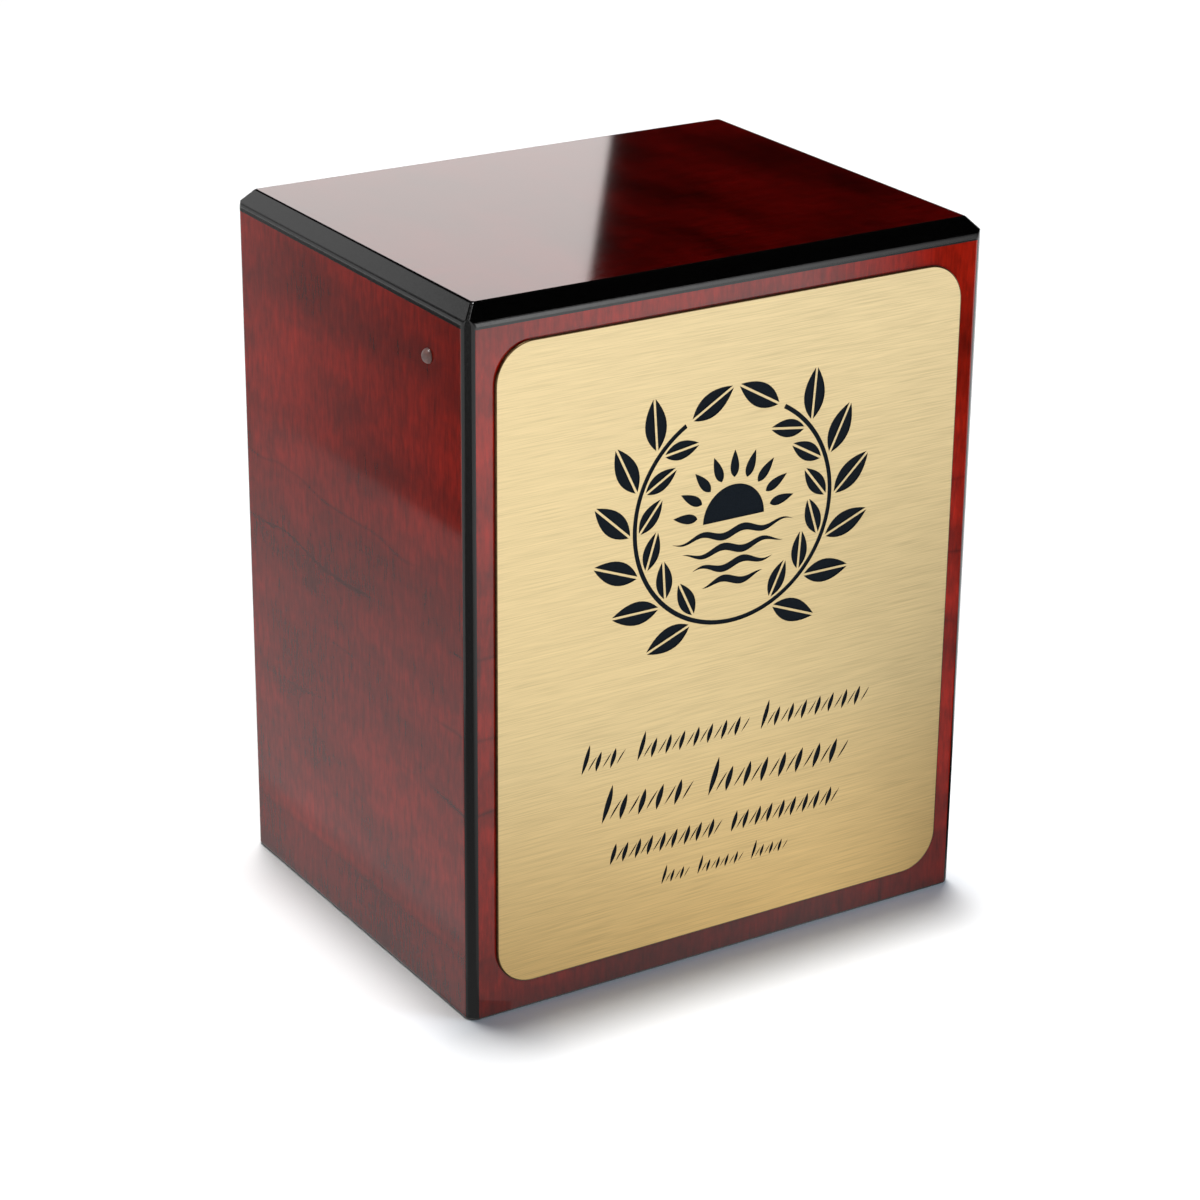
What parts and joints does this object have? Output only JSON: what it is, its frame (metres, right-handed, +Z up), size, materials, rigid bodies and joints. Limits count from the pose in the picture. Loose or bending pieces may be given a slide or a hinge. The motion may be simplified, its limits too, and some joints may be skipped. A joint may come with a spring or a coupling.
{
  "type": "cremation urn box",
  "caption": "Upright lacquered wooden cremation urn box with black bevelled edges and an engraved brass plaque on the front, hollow inside to hold ashes.",
  "frame": {"origin": "middle of the underside, under the four walls and the base board", "axes": "+Z up; the plaque faces -Y; +X to the right as seen from the front"},
  "size_m": [0.1758, 0.139, 0.216],
  "materials": {
    "lacquered_veneer": "gloss lacquer over red-stained veneer, edges lacquered black",
    "stained_board": "matt dark stain",
    "brushed_brass": "brushed along its width, engraving filled black",
    "plug_plastic": "satin"
  },
  "bodies": {
    "root": {"top_board": "lacquered_veneer", "front_board": "lacquered_veneer", "back_board": "lacquered_veneer", "left_side_board": "lacquered_veneer", "right_side_board": "lacquered_veneer", "base_board": "stained_board", "brass_plaque": "brushed_brass", "side_screw_plug": "plug_plastic"}
  },
  "joints": []
}
